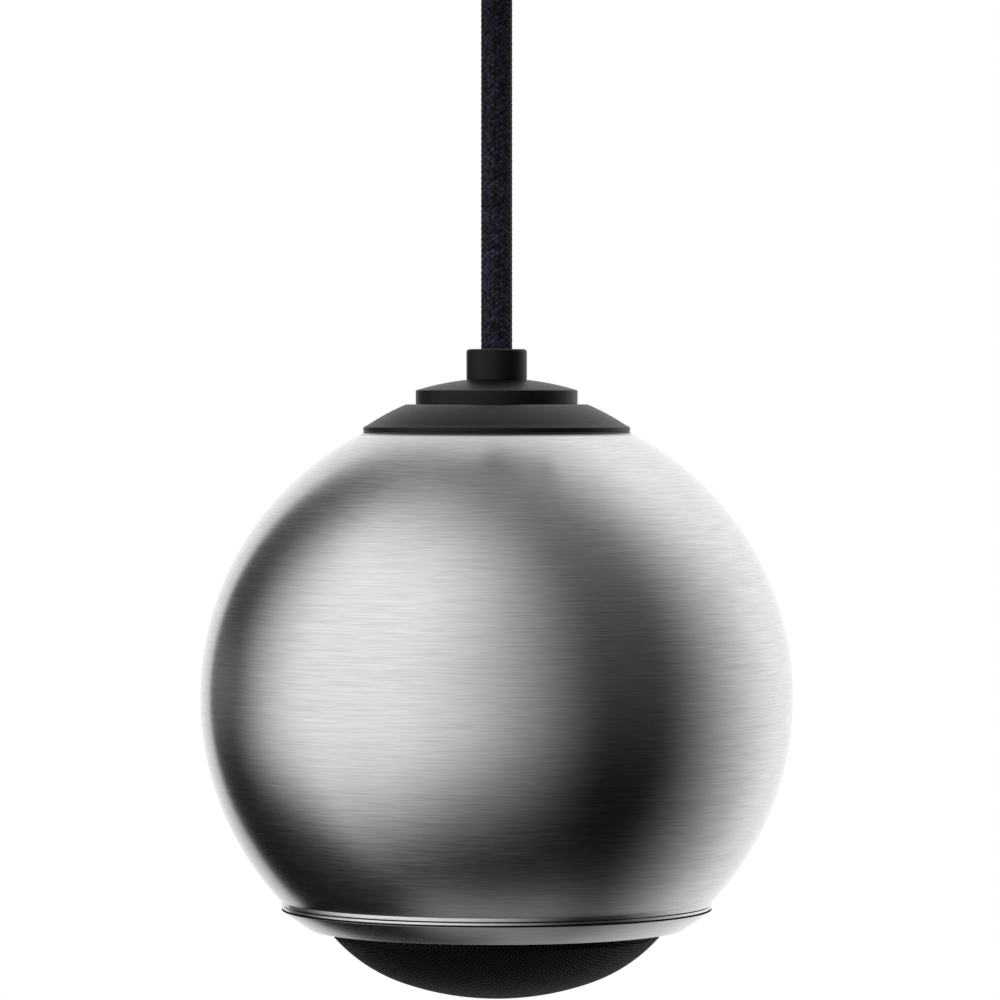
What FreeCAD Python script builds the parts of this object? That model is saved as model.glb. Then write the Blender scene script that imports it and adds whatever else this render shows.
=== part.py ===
import FreeCAD, Part
import math
import os
import re
import Sketcher

# Ball pendant speaker, hung by its cord from a ceiling rose.
# The part's origin is the middle of the ceiling face, with +Z up.
# Pieces on the ball are drawn about the ball's centre and then lowered to their place.
# All sizes are millimetres.

SIZES = {
    # ball and its neck, measured upward from the ball's centre
    "ball_radius": 50.8,
    "shell_wall": 1.2,
    "mouth_radius": 36.34,
    "edge_roll": 0.7,
    "roll_reach": 0.95,
    "ledge_sink": 0.5,
    "ledge_radius": 15.6,
    "flange_radius": 22.9,
    "flange_bore": 12.4,
    "flange_rim": 1.05,
    "flange_curve": 40.0,
    "rim_step": 0.2,
    "rim_bead": 0.25,
    "rim_groove": 0.25,
    "rim_groove_half": 0.1,
    "cap_radius": 13.9,
    "cap_band": 2.35,
    "cap_rise": 1.85,
    "cap_land": 5.5,
    "cap_curve": 47.0,
    "cap_skin": 1.3,
    "cap_slope": 1.2,
    "cap_socket": 1.0,
    "collar_radius": 5.2,
    "collar_height": 5.3,
    "collar_round": 0.7,
    "collar_roof": 1.3,
    # cord and the tube that it runs through
    "cord_radius": 2.75,
    "cord_gap": 0.15,
    "cord_free": 64.2,
    "cord_tail": 2.0,
    "cord_stub": 1.6,
    "core_radius": 0.6,
    "core_offset": 1.3,
    "stem_radius": 4.0,
    "stem_gap": 0.2,
    "stem_tail": 3.0,
    "saddle_radius": 11.0,
    "saddle_edge": 1.2,
    "nut_flats": 13.0,
    "nut_height": 4.0,
    # clamp on the cord inside the ball
    "clamp_width": 19.0,
    "clamp_depth": 6.0,
    "clamp_height": 7.0,
    "clamp_split": 0.6,
    "clamp_hole_x": 6.6,
    "clamp_screw_radius": 1.25,
    "clamp_head_radius": 2.3,
    "clamp_head_height": 1.6,
    "grub_radius": 1.25,
    "grub_sink": 0.1,
    "socket_radius": 0.7,
    # lower opening
    "spigot_setback": 3.34,
    "spigot_wall": 1.3,
    "spigot_rise": 3.5,
    "seam_gasket_height": 0.25,
    "seam_setback": 0.5,
    "bead_proud": 0.26,
    "bead_height": 0.45,
    "bead_round": 0.15,
    "groove_height": 0.25,
    "groove_depth": 0.45,
    "bezel_proud": 0.66,
    "bezel_height": 4.25,
    "bezel_shoulder": 0.15,
    "bezel_taper": 4.7,
    "bezel_corner": 0.25,
    "bezel_foot_inset": 0.3,
    "lip_gap": 0.35,
    "lip_height": 1.1,
    # grille
    "grille_setback": 8.34,
    "grille_wall": 0.8,
    "skirt_height": 2.3,
    "crown_curve": 49.5,
    "crown_angle": 19.6,
    "shoulder_curve": 27.5,
    "grille_pitch": 4.9,
    "grille_hole": 2.3,
    "fit_gap": 0.3,
    # speaker driver
    "gasket_height": 0.7,
    "gasket_width": 2.5,
    "rim_height": 1.2,
    "rim_width": 5.0,
    "basket_lip": 1.0,
    "basket_wall": 1.6,
    "shelf_radius": 17.6,
    "shelf_width": 1.4,
    "seat_wall": 1.2,
    "seat_bore": 13.0,
    "seat_height": 1.0,
    "seat_rise": 2.3,
    "window_foot": 1.0,
    "window_edge": 0.5,
    "window_half_angle": 19.0,
    "window_count": 6.0,
    "ring_height": 2.0,
    "ring_width": 2.5,
    "ring_notch": 2.5,
    "cone_setback": 4.0,
    "cone_land_width": 1.8,
    "cone_wall": 0.4,
    "neck_gap": 1.8,
    "roll_start": 0.2,
    "roll_radius": 2.0,
    "roll_wall": 0.4,
    "cap_seat": 9.6,
    "cap_seat_width": 0.8,
    "cap_wall": 0.35,
    "cap_bulge": 3.6,
    "former_radius": 8.15,
    "former_wall": 0.15,
    "former_front": 0.9,
    "former_length": 12.2,
    "coil_wall": 0.45,
    "coil_length": 5.6,
    "coil_gap": 0.35,
    "pole_gap": 0.3,
    "plate_height": 3.0,
    "plate_radius": 18.5,
    "magnet_radius": 19.5,
    "magnet_bore": 12.5,
    "magnet_height": 8.0,
    "back_height": 3.0,
    "vent_radius": 2.0,
    "spider_collar": 1.1,
    "spider_wall": 0.35,
    "spider_waves": 6.0,
    "spider_swing": 0.35,
    "spider_flange": 1.5,
    # terminals on the driver
    "boss_proud": 0.6,
    "boss_drop": 1.4,
    "boss_depth": 4.0,
    "board_width": 10.0,
    "board_wall": 1.2,
    "board_rise": 9.0,
    "tag_offset": 2.6,
    "tag_width": 2.4,
    "tag_wall": 1.0,
    "tag_height": 7.0,
    "tag_top": 0.8,
    "tinsel_radius": 0.35,
    "tinsel_landing": 6.0,
    "tinsel_gap": 0.05,
    # ceiling fitting, measured down from the ceiling face
    "rose_radius": 38.0,
    "rose_depth": 30.0,
    "rose_wall": 1.2,
    "rose_round": 4.0,
    "strap_width": 16.0,
    "strap_wall": 1.5,
    "strap_gap": 0.3,
    "tab_height": 12.0,
    "slot_spacing": 50.0,
    "slot_radius": 2.25,
    "slot_length": 9.0,
    "side_screw_depth": 8.0,
    "side_screw_radius": 2.0,
    "side_screw_length": 7.0,
    "side_head_radius": 3.6,
    "side_head_height": 2.2,
    "block_length": 20.0,
    "block_width": 13.0,
    "block_height": 10.0,
    "block_bore": 1.6,
    "block_spacing": 9.6,
    "block_bore_rise": 5.0,
    "block_screw_radius": 1.3,
    "block_screw_height": 2.2,
    "grip_flange_radius": 7.5,
    "grip_flange_height": 2.0,
    "grip_nose_radius": 5.4,
    "grip_nose_height": 1.0,
    "grip_tip_radius": 4.2,
    "grip_reach": 5.0,
    "grip_thread": 5.0,
    "grip_rise": 5.6,
    "locknut_flats": 14.0,
    "locknut_height": 3.0,
    "grip_screw_radius": 0.9,
    # how far a cut runs past the surface it leaves
    "overcut": 1.0,
}

# Routes of wires between two ends: the share of the way in x, y and z at each corner.
LEAD_ROUTE = [(0, 0, 0), (0, 0, 0.15), (0.22, 0.6, 0.36), (0.76, 1.4, 0.57), (1, 1, 0.77), (1, 1, 1)]
ROSE_LEAD_ROUTE = [(0, 0, 0), (0, 0, 0.245), (0.45, 0.77, 0.43), (1, 2.23, 0.45), (1, 2.23, 1), (1, 1, 1)]
TINSEL_ROUTE = [(0, 0, 0), (0, 0, 0.33), (-0.14, 0, 0.71), (0.24, 0, 1), (1, 0, 1)]

doc = FreeCAD.newDocument("pendant_speaker")
sheet = doc.addObject("Spreadsheet::Sheet", "Sizes")
for row, (alias, size) in enumerate(SIZES.items(), start=1):
    sheet.set(f"A{row}", alias)
    sheet.set(f"B{row}", str(size))
    sheet.setAlias(f"B{row}", alias)
doc.recompute()


def bound(text):
    """The expression with every size written as a cell of the sheet."""
    return re.sub(r"[a-z][a-z_]*", lambda m: f"Sizes.{m[0]}" if m[0] in SIZES else m[0], text)


def value(text):
    """The number that an expression of sizes stands for now."""
    return float(sheet.evalExpression(bound(text)))


# Heights that several pieces share, above the ball's centre.
INNER_RADIUS = "(ball_radius - shell_wall)"
CORD_BORE = "(cord_radius + cord_gap)"
STEM_HOLE = "(stem_radius + stem_gap)"
EDGE = "sqrt(ball_radius^2 - mouth_radius^2)"
LEDGE = "(ball_radius - ledge_sink)"
CAP_TOP = f"({LEDGE} + cap_band + cap_rise)"
COLLAR_TOP = f"({CAP_TOP} + collar_height)"
STEM_TOP = f"({COLLAR_TOP} - collar_roof)"
SADDLE_BASE = f"(sqrt({INNER_RADIUS}^2 - saddle_radius^2) - saddle_edge)"
NUT_BASE = f"({SADDLE_BASE} - nut_height)"
STEM_BASE = f"({NUT_BASE} - stem_tail)"
CLAMP_BASE = f"({STEM_BASE} - clamp_height)"
CORD_BASE = f"({CLAMP_BASE} - cord_tail)"
BEZEL_TOP = f"(-{EDGE} - seam_gasket_height)"
BEZEL_BASE = f"(-{EDGE} - bezel_height)"
LIP_TOP = f"({BEZEL_BASE} + lip_height)"
SPIGOT_TOP = f"(-{EDGE} + spigot_rise)"
SPIGOT_RADIUS = "(mouth_radius - spigot_setback)"
BEAD_RADIUS = "(mouth_radius + bead_proud)"
BEZEL_RADIUS = "(mouth_radius + bezel_proud)"
BEZEL_LOWER_RADIUS = f"({BEZEL_RADIUS} - bezel_taper)"
GRILLE_RADIUS = "(mouth_radius - grille_setback)"
LIP_BORE = f"({GRILLE_RADIUS} + lip_gap)"
SHOULDER_R = "((crown_curve - shoulder_curve)*sin(crown_angle))"
SHOULDER_RISE = "(crown_curve - (crown_curve - shoulder_curve)*cos(crown_angle))"
SHOULDER_DROP = f"sqrt(shoulder_curve^2 - ({GRILLE_RADIUS} - {SHOULDER_R})^2)"
GRILLE_POLE = f"({LIP_TOP} - skirt_height - {SHOULDER_RISE} + {SHOULDER_DROP})"
SHOULDER_Z = f"({GRILLE_POLE} + {SHOULDER_RISE})"
GRILLE_TOP = f"({LIP_TOP} + grille_wall)"
RIM_BASE = f"({GRILLE_TOP} + gasket_height)"
RIM_TOP = f"({RIM_BASE} + rim_height)"
WELL_RADIUS = f"({SPIGOT_RADIUS} - spigot_wall)"
DRIVER_RADIUS = f"({WELL_RADIUS} - fit_gap)"
RIM_BORE = f"({DRIVER_RADIUS} - rim_width)"
SHELF_EDGE = "(shelf_radius + shelf_width)"
SHELF = f"({RIM_BASE} + basket_lip + {RIM_BORE} - {SHELF_EDGE})"
SEAT_RADIUS = f"({SHELF_EDGE} + seat_wall)"
SEAT_BASE = f"({SHELF} + seat_rise)"
SEAT_TOP = f"({SEAT_BASE} + seat_height)"
BOSS_RADIUS = f"({SEAT_RADIUS} + boss_proud)"
BOSS_BASE = f"({SEAT_BASE} - boss_drop)"
CONE_RIM = f"({RIM_BORE} - cone_setback)"
CONE_LAND = f"({CONE_RIM} - cone_land_width)"
CONE_REAR = f"({RIM_BASE} + cone_wall)"
NECK = f"({SHELF} - neck_gap)"
CONE_SLOPE = f"(({NECK} - {CONE_REAR})/({CONE_LAND} - former_radius))"
PLATE_TOP = f"({SEAT_TOP} + plate_height)"
MAGNET_TOP = f"({PLATE_TOP} + magnet_height)"
COIL_BASE = f"({SEAT_TOP} + plate_height/2 - coil_length/2)"
TAG_TOP = f"({SEAT_TOP} + board_rise + tag_top)"
GRIP_TIP = "(rose_depth + grip_reach)"
DROP = f"({GRIP_TIP} + cord_free + {COLLAR_TOP})"


def on_plane(body, name, role, lift="0"):
    """A sketch on one of the body's own origin planes, lifted along the plane's normal."""
    sketch = body.newObject("Sketcher::SketchObject", name)
    plane = next(f for f in body.Origin.OriginFeatures if f.Role == role)
    sketch.AttachmentSupport = [(plane, "")]
    sketch.MapMode = "FlatFace"
    sketch.setExpression("AttachmentOffset.Base.z", bound(lift))
    return sketch


def curve(start, end, radius, turn):
    """The arc of that radius from start to end, turning left (1) or right (-1)."""
    (x0, y0), (x1, y1) = start, end
    chord = math.hypot(x1 - x0, y1 - y0)
    rise = math.sqrt(max(radius**2 - chord**2 / 4, 0))
    cx = (x0 + x1) / 2 - turn * (y1 - y0) / chord * rise
    cy = (y0 + y1) / 2 + turn * (x1 - x0) / chord * rise
    first = math.atan2(y0 - cy, x0 - cx)
    last = math.atan2(y1 - cy, x1 - cx)
    circle = Part.Circle(FreeCAD.Vector(cx, cy, 0), FreeCAD.Vector(0, 0, 1), radius)
    return Part.ArcOfCircle(circle, first, last) if turn > 0 else Part.ArcOfCircle(circle, last, first)


def outline(sketch, corners):
    """Draws a closed outline. Each corner is (x, y), or (x, y, radius, turn) where an arc leaves it.

    Every corner's place and every arc's radius is bound to the sheet.
    """
    places = [(value(c[0]), value(c[1])) for c in corners]
    edges = []
    for i, corner in enumerate(corners):
        start, end = places[i], places[(i + 1) % len(corners)]
        if len(corner) == 4:
            shape = curve(start, end, value(corner[2]), corner[3])
            ends = (1, 2) if corner[3] > 0 else (2, 1)
        else:
            shape = Part.LineSegment(FreeCAD.Vector(*start, 0), FreeCAD.Vector(*end, 0))
            ends = (1, 2)
        edges.append((sketch.addGeometry(shape), ends))
    for i, (edge, ends) in enumerate(edges):
        after, after_ends = edges[(i + 1) % len(edges)]
        sketch.addConstraint(Sketcher.Constraint("Coincident", edge, ends[1], after, after_ends[0]))
    for i, (edge, ends) in enumerate(edges):
        for kind, text, number in zip(("DistanceX", "DistanceY"), corners[i], places[i]):
            fixed = Sketcher.Constraint(kind, -1, 1, edge, ends[0], number)
            sketch.setExpression(f"Constraints[{sketch.addConstraint(fixed)}]", bound(text))
        if len(corners[i]) == 4:
            fixed = Sketcher.Constraint("Radius", edge, value(corners[i][2]))
            sketch.setExpression(f"Constraints[{sketch.addConstraint(fixed)}]", bound(corners[i][2]))


def circle_at(sketch, x, y, radius):
    """Draws a circle whose centre and radius are bound to the sheet."""
    centre = FreeCAD.Vector(value(x), value(y), 0)
    edge = sketch.addGeometry(Part.Circle(centre, FreeCAD.Vector(0, 0, 1), value(radius)))
    for kind, text in (("DistanceX", x), ("DistanceY", y)):
        fixed = Sketcher.Constraint(kind, -1, 1, edge, 3, value(text))
        sketch.setExpression(f"Constraints[{sketch.addConstraint(fixed)}]", bound(text))
    fixed = Sketcher.Constraint("Radius", edge, value(radius))
    sketch.setExpression(f"Constraints[{sketch.addConstraint(fixed)}]", bound(radius))


def box_corners(x0, x1, y0, y1):
    """The four corners of an upright rectangle."""
    return [(x0, y0), (x1, y0), (x1, y1), (x0, y1)]


def hexagon(flats):
    """The six corners of a hexagon with that distance across its flats."""
    reach = f"{flats}/2/cos(30)"
    return [(f"{reach}*cos({60 * k})", f"{reach}*sin({60 * k})") for k in range(6)]


def new_body(name, at_ball=True):
    """A body drawn about the ball's centre, or about the ceiling face."""
    body = doc.addObject("PartDesign::Body", name)
    body.Label = name
    if at_ball:
        body.setExpression("Placement.Base.z", bound(f"-{DROP}"))
    return body


def turned(name, corners, at_ball=True):
    """A piece turned about the upright axis from its half section."""
    body = new_body(name, at_ball)
    sketch = on_plane(body, f"{name}_section", "XZ_Plane")
    outline(sketch, corners)
    feature = body.newObject("PartDesign::Revolution", f"{name}_turn")
    feature.Profile = sketch
    feature.ReferenceAxis = (sketch, ["V_Axis"])
    feature.Angle = 360
    return body


def tube(name, inner, outer, low, high, at_ball=True):
    """A plain ring or tube."""
    return turned(name, box_corners(inner, outer, low, high), at_ball)


def pad(body, name, draw, low, high, role="XY_Plane"):
    """Adds what draw draws, from low to high along the plane's normal."""
    sketch = on_plane(body, f"{name}_sketch", role, low)
    draw(sketch)
    feature = body.newObject("PartDesign::Pad", name)
    feature.Profile = sketch
    feature.setExpression("Length", bound(f"{high} - {low}"))
    return feature


def cut(body, name, draw, low, high, role="XY_Plane"):
    """Cuts away what draw draws, from low to high along the plane's normal."""
    sketch = on_plane(body, f"{name}_sketch", role, high)
    draw(sketch)
    feature = body.newObject("PartDesign::Pocket", name)
    feature.Profile = sketch
    feature.setExpression("Length", bound(f"{high} - {low}"))
    return feature


def repeat_round(body, name, feature, count):
    """Repeats a feature evenly about the body's upright axis."""
    doc.recompute()
    pattern = body.newObject("PartDesign::PolarPattern", name)
    pattern.Originals = [feature]
    axis = next(f for f in body.Origin.OriginFeatures if f.Role == "Z_Axis")
    pattern.Axis = (axis, [""])
    pattern.Angle = 360
    pattern.Occurrences = count
    body.Tip = pattern


def shaped(name, shape, at_ball=True):
    """A piece whose shape is worked out directly."""
    piece = doc.addObject("Part::Feature", name)
    piece.Label = name
    piece.Shape = shape
    if at_ball:
        piece.Placement.Base = FreeCAD.Vector(0, 0, -value(DROP))
    return piece


def rod(radius, start, direction, length):
    """A cylinder from start along direction."""
    return Part.makeCylinder(radius, length, FreeCAD.Vector(*start), FreeCAD.Vector(*direction))


def wire_along(start, end, shares, radius):
    """A round wire along straight runs joined by tangent arcs, each as large as its two runs allow.

    Each corner of its route is the given shares of the way from start to end.
    """
    route = [FreeCAD.Vector(*(a + s * (b - a) for a, b, s in zip(start, end, corner))) for corner in shares]
    edges = []
    reached = route[0]
    for before, corner, after in zip(route, route[1:], route[2:]):
        inward = (corner - before).normalize()
        outward = (after - corner).normalize()
        half_turn = inward.getAngle(outward) / 2
        shorter = min((corner - before).Length, (after - corner).Length)
        bend = 0.45 * shorter / math.tan(half_turn)
        print(f"wire of radius {radius}: arc radius {bend:.1f} mm")
        first = corner - inward * (0.45 * shorter)
        last = corner + outward * (0.45 * shorter)
        toward = (outward - inward).normalize()
        middle = corner + toward * (bend / math.cos(half_turn) - bend)
        edges.append(Part.LineSegment(reached, first).toShape())
        edges.append(Part.Arc(first, middle, last).toShape())
        reached = last
    edges.append(Part.LineSegment(reached, route[-1]).toShape())
    path = Part.Wire(edges)
    ring = Part.Wire(Part.makeCircle(radius, route[0], route[1] - route[0]))
    return path.makePipeShell([ring], True, True)


# Ceiling fitting: a bracket on the ceiling, and a cup that two side screws hold to it.
def make_bracket():
    body = new_body("ceiling_bracket", at_ball=False)
    reach = "(sqrt((rose_radius - rose_wall)^2 - (strap_width/2)^2) - strap_gap)"
    tab_low = "(-tab_height)"
    pad(body, "strap", lambda s: outline(s, box_corners(f"-{reach}", reach, "-strap_width/2", "strap_width/2")),
        "(-strap_wall)", "0")
    tabs = (("tab_left", f"-{reach}", f"-{reach} + strap_wall"), ("tab_right", f"{reach} - strap_wall", reach))
    for name, x0, x1 in tabs:
        pad(body, name, lambda s: outline(s, box_corners(x0, x1, "-strap_width/2", "strap_width/2")),
            tab_low, "(-strap_wall)")
    half = "(slot_length/2 - slot_radius)"
    for name, middle in (("slot_left", "(-slot_spacing/2)"), ("slot_right", "(slot_spacing/2)")):
        corners = [
            (f"{middle} - {half}", "-slot_radius"),
            (f"{middle} + {half}", "-slot_radius", "slot_radius", 1),
            (f"{middle} + slot_length/2", "0", "slot_radius", 1),
            (f"{middle} + {half}", "slot_radius"),
            (f"{middle} - {half}", "slot_radius", "slot_radius", 1),
            (f"{middle} - slot_length/2", "0", "slot_radius", 1),
        ]
        cut(body, name, lambda s: outline(s, corners), "(-strap_wall)", "0")
    cut(body, "screw_holes", lambda s: circle_at(s, "0", "-side_screw_depth", "side_screw_radius"),
        f"(-{reach})", reach, "YZ_Plane")


def make_rose():
    hole = "(grip_thread + stem_gap)"
    inner = "(rose_radius - rose_wall)"
    floor = "(-rose_depth + rose_wall)"
    round_in = "(rose_round - rose_wall)"
    body = turned("ceiling_rose", [
        (hole, "-rose_depth"),
        ("rose_radius - rose_round", "-rose_depth", "rose_round", 1),
        ("rose_radius", "-rose_depth + rose_round"),
        ("rose_radius", "0"),
        (inner, "0"),
        (inner, "-rose_depth + rose_round", round_in, -1),
        ("rose_radius - rose_round", floor),
        (hole, floor),
    ], at_ball=False)
    cut(body, "side_holes", lambda s: circle_at(s, "0", "-side_screw_depth", "(side_screw_radius + stem_gap)"),
        "(-rose_radius - overcut)", "(rose_radius + overcut)", "YZ_Plane")


def make_side_screws():
    screws = []
    for side in (-1, 1):
        face = side * value("rose_radius")
        start = (face, 0, -value("side_screw_depth"))
        shank = rod(value("side_screw_radius"), start, (-side, 0, 0), value("side_screw_length"))
        head = rod(value("side_head_radius"), start, (side, 0, 0), value("side_head_height"))
        screws.append(shank.fuse(head).removeSplitter())
    shaped("rose_side_screws", Part.makeCompound(screws), at_ball=False)


def make_block():
    body = new_body("connector_block", at_ball=False)
    top = "(-strap_wall)"
    low = f"({top} - block_height)"
    bore_z = f"({low} + block_bore_rise)"
    corners = box_corners("-block_length/2", "block_length/2", "-block_width/2", "block_width/2")
    pad(body, "block", lambda s: outline(s, corners), low, top)
    for name, x in (("bore_left", "-block_spacing/2"), ("bore_right", "block_spacing/2")):
        cut(body, name, lambda s: circle_at(s, x, bore_z, "block_bore"),
            "(-block_width/2)", "block_width/2", "XZ_Plane")
        cut(body, f"{name}_screw_hole", lambda s: circle_at(s, x, "0", "block_screw_radius"), low, bore_z)
    screws = []
    for side in (-1, 1):
        start = (side * value("block_spacing/2"), 0, value(low))
        screws.append(rod(value("block_screw_radius"), start, (0, 0, 1), value("block_screw_height")))
    shaped("block_screws", Part.makeCompound(screws), at_ball=False)


def make_grip():
    base = "(-rose_depth)"
    body = turned("cord_grip", [
        (CORD_BORE, "-rose_depth - grip_reach"),
        ("grip_tip_radius", "-rose_depth - grip_reach"),
        ("grip_nose_radius", f"{base} - grip_flange_height - grip_nose_height"),
        ("grip_nose_radius", f"{base} - grip_flange_height"),
        ("grip_flange_radius", f"{base} - grip_flange_height"),
        ("grip_flange_radius", base),
        ("grip_thread", base),
        ("grip_thread", f"{base} + grip_rise"),
        (CORD_BORE, f"{base} + grip_rise"),
    ], at_ball=False)
    height = "(-rose_depth - grip_flange_height/2)"
    cut(body, "grip_screw_hole", lambda s: circle_at(s, "0", height, "grip_screw_radius"),
        "(-grip_flange_radius - overcut)", "0", "XZ_Plane")
    start = (0, value("cord_radius"), value(height))
    length = value("grip_flange_radius - cord_radius - grub_sink")
    shaped("grip_screw", rod(value("grip_screw_radius"), start, (0, 1, 0), length), at_ball=False)
    nut = new_body("grip_locknut", at_ball=False)
    floor = "(-rose_depth + rose_wall)"
    top = f"({floor} + locknut_height)"
    pad(nut, "locknut", lambda s: outline(s, hexagon("locknut_flats")), floor, top)
    cut(nut, "locknut_bore", lambda s: circle_at(s, "0", "0", "grip_thread"), floor, top)


def make_rose_leads():
    """The cord's two cores, from its stripped end to the connector block's bores."""
    base = value("-rose_depth + grip_rise + cord_stub")
    bore_z = value("-strap_wall - block_height + block_bore_rise")
    for name, side in (("rose_lead_positive", 1), ("rose_lead_negative", -1)):
        start = (side * value("core_offset"), 0, base)
        end = (side * value("block_spacing/2"), value("block_width/2"), bore_z)
        shaped(name, wire_along(start, end, ROSE_LEAD_ROUTE, value("core_radius")), at_ball=False)


# Cord, held straight by the ball's weight.
def make_cord():
    body = new_body("cord", at_ball=False)
    low = f"({CORD_BASE} - {DROP})"
    high = "(-rose_depth + grip_rise + cord_stub)"
    pad(body, "cord_tube", lambda s: circle_at(s, "0", "0", "cord_radius"), low, high)


# Neck of the ball.
def make_neck():
    collar = turned("cord_collar", [
        ("stem_radius", CAP_TOP),
        ("collar_radius", CAP_TOP),
        ("collar_radius", f"{COLLAR_TOP} - collar_round", "collar_round", 1),
        ("collar_radius - collar_round", COLLAR_TOP),
        (CORD_BORE, COLLAR_TOP),
        (CORD_BORE, STEM_TOP),
        ("stem_radius", STEM_TOP),
    ])
    grub_z = f"({CAP_TOP} + collar_height/2 - collar_round)"
    cut(collar, "grub_hole", lambda s: circle_at(s, "0", grub_z, "grub_radius"),
        "(-collar_radius - overcut)", "0", "XZ_Plane")
    start = (0, value("stem_radius"), value(grub_z))
    length = value("collar_radius - stem_radius - grub_sink")
    screw = rod(value("grub_radius"), start, (0, 1, 0), length)
    socket_start = (0, value("stem_radius + (collar_radius - stem_radius)/2"), value(grub_z))
    screw = screw.cut(rod(value("socket_radius"), socket_start, (0, 1, 0), length))
    shaped("collar_grub_screw", screw)

    turned("upper_cap", [
        (STEM_HOLE, f"{CAP_TOP} - cap_skin"),
        ("flange_bore - cap_slope", f"{CAP_TOP} - cap_skin - cap_slope"),
        ("flange_bore", f"{LEDGE} + cap_socket"),
        ("flange_bore", LEDGE),
        ("cap_radius", LEDGE),
        ("cap_radius", f"{LEDGE} + cap_band", "cap_curve", 1),
        ("cap_land", CAP_TOP),
        (STEM_HOLE, CAP_TOP),
    ])

    rim_foot = "sqrt(ball_radius^2 - flange_radius^2)"
    turned("top_flange", [
        ("flange_bore", "sqrt(ball_radius^2 - flange_bore^2)", "ball_radius", -1),
        ("flange_radius", rim_foot),
        ("flange_radius", f"{rim_foot} + rim_bead"),
        ("flange_radius - rim_groove", f"{rim_foot} + rim_bead + rim_groove_half"),
        ("flange_radius", f"{rim_foot} + rim_bead + 2*rim_groove_half"),
        ("flange_radius", f"{rim_foot} + flange_rim - rim_step"),
        ("flange_radius - rim_step", f"{rim_foot} + flange_rim", "flange_curve", 1),
        ("ledge_radius", LEDGE),
        ("flange_bore", LEDGE),
    ])

    tube("stem", CORD_BORE, "stem_radius", STEM_BASE, STEM_TOP)
    turned("saddle_washer", [
        (STEM_HOLE, SADDLE_BASE),
        ("saddle_radius", SADDLE_BASE),
        ("saddle_radius", f"sqrt({INNER_RADIUS}^2 - saddle_radius^2)", INNER_RADIUS, 1),
        (STEM_HOLE, f"sqrt({INNER_RADIUS}^2 - {STEM_HOLE}^2)"),
    ])
    nut = new_body("stem_nut")
    pad(nut, "nut", lambda s: outline(s, hexagon("nut_flats")), NUT_BASE, SADDLE_BASE)
    cut(nut, "nut_bore", lambda s: circle_at(s, "0", "0", "stem_radius"), NUT_BASE, SADDLE_BASE)


def make_clamp():
    """Two jaws that two screws draw together on the cord."""
    split = "clamp_split/2"
    outer = "(clamp_split/2 + clamp_depth)"
    middle = f"({CLAMP_BASE} + clamp_height/2)"
    for name, y0, y1 in (("clamp_jaw_front", f"-{outer}", f"-{split}"), ("clamp_jaw_back", split, outer)):
        jaw = new_body(name)
        corners = box_corners("-clamp_width/2", "clamp_width/2", y0, y1)
        pad(jaw, f"{name}_block", lambda s: outline(s, corners), CLAMP_BASE, STEM_BASE)
        cut(jaw, f"{name}_bore", lambda s: circle_at(s, "0", "0", "cord_radius"), CLAMP_BASE, STEM_BASE)
        for side, x in (("left", "-clamp_hole_x"), ("right", "clamp_hole_x")):
            cut(jaw, f"{name}_{side}_hole", lambda s: circle_at(s, x, middle, "clamp_screw_radius"),
                f"(-{outer})", outer, "XZ_Plane")
    screws = []
    for side in (-1, 1):
        start = (side * value("clamp_hole_x"), -value(outer), value(middle))
        shank = rod(value("clamp_screw_radius"), start, (0, 1, 0), value(f"2*{outer}"))
        head = rod(value("clamp_head_radius"), start, (0, -1, 0), value("clamp_head_height"))
        screws.append(shank.fuse(head).removeSplitter())
    shaped("clamp_screws", Part.makeCompound(screws))


def make_ball():
    roll_radius = f"(mouth_radius + roll_reach*{EDGE}/ball_radius)"
    inner_mouth = f"sqrt({INNER_RADIUS}^2 - {EDGE}^2)"
    turned("ball_shell", [
        (STEM_HOLE, f"sqrt(ball_radius^2 - {STEM_HOLE}^2)", "ball_radius", -1),
        (roll_radius, f"-sqrt(ball_radius^2 - {roll_radius}^2)", "edge_roll", -1),
        ("mouth_radius - edge_roll/2", f"-{EDGE}"),
        (inner_mouth, f"-{EDGE}", INNER_RADIUS, 1),
        (STEM_HOLE, f"sqrt({INNER_RADIUS}^2 - {STEM_HOLE}^2)"),
    ])
    turned("mounting_ring", [
        (SPIGOT_RADIUS, f"-{EDGE}"),
        (inner_mouth, f"-{EDGE}", INNER_RADIUS, 1),
        (f"sqrt({INNER_RADIUS}^2 - {SPIGOT_TOP}^2)", SPIGOT_TOP),
        (SPIGOT_RADIUS, SPIGOT_TOP),
    ])
    tube("seam_gasket", SPIGOT_RADIUS, "(mouth_radius - seam_setback)", BEZEL_TOP, f"(-{EDGE})")


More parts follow.
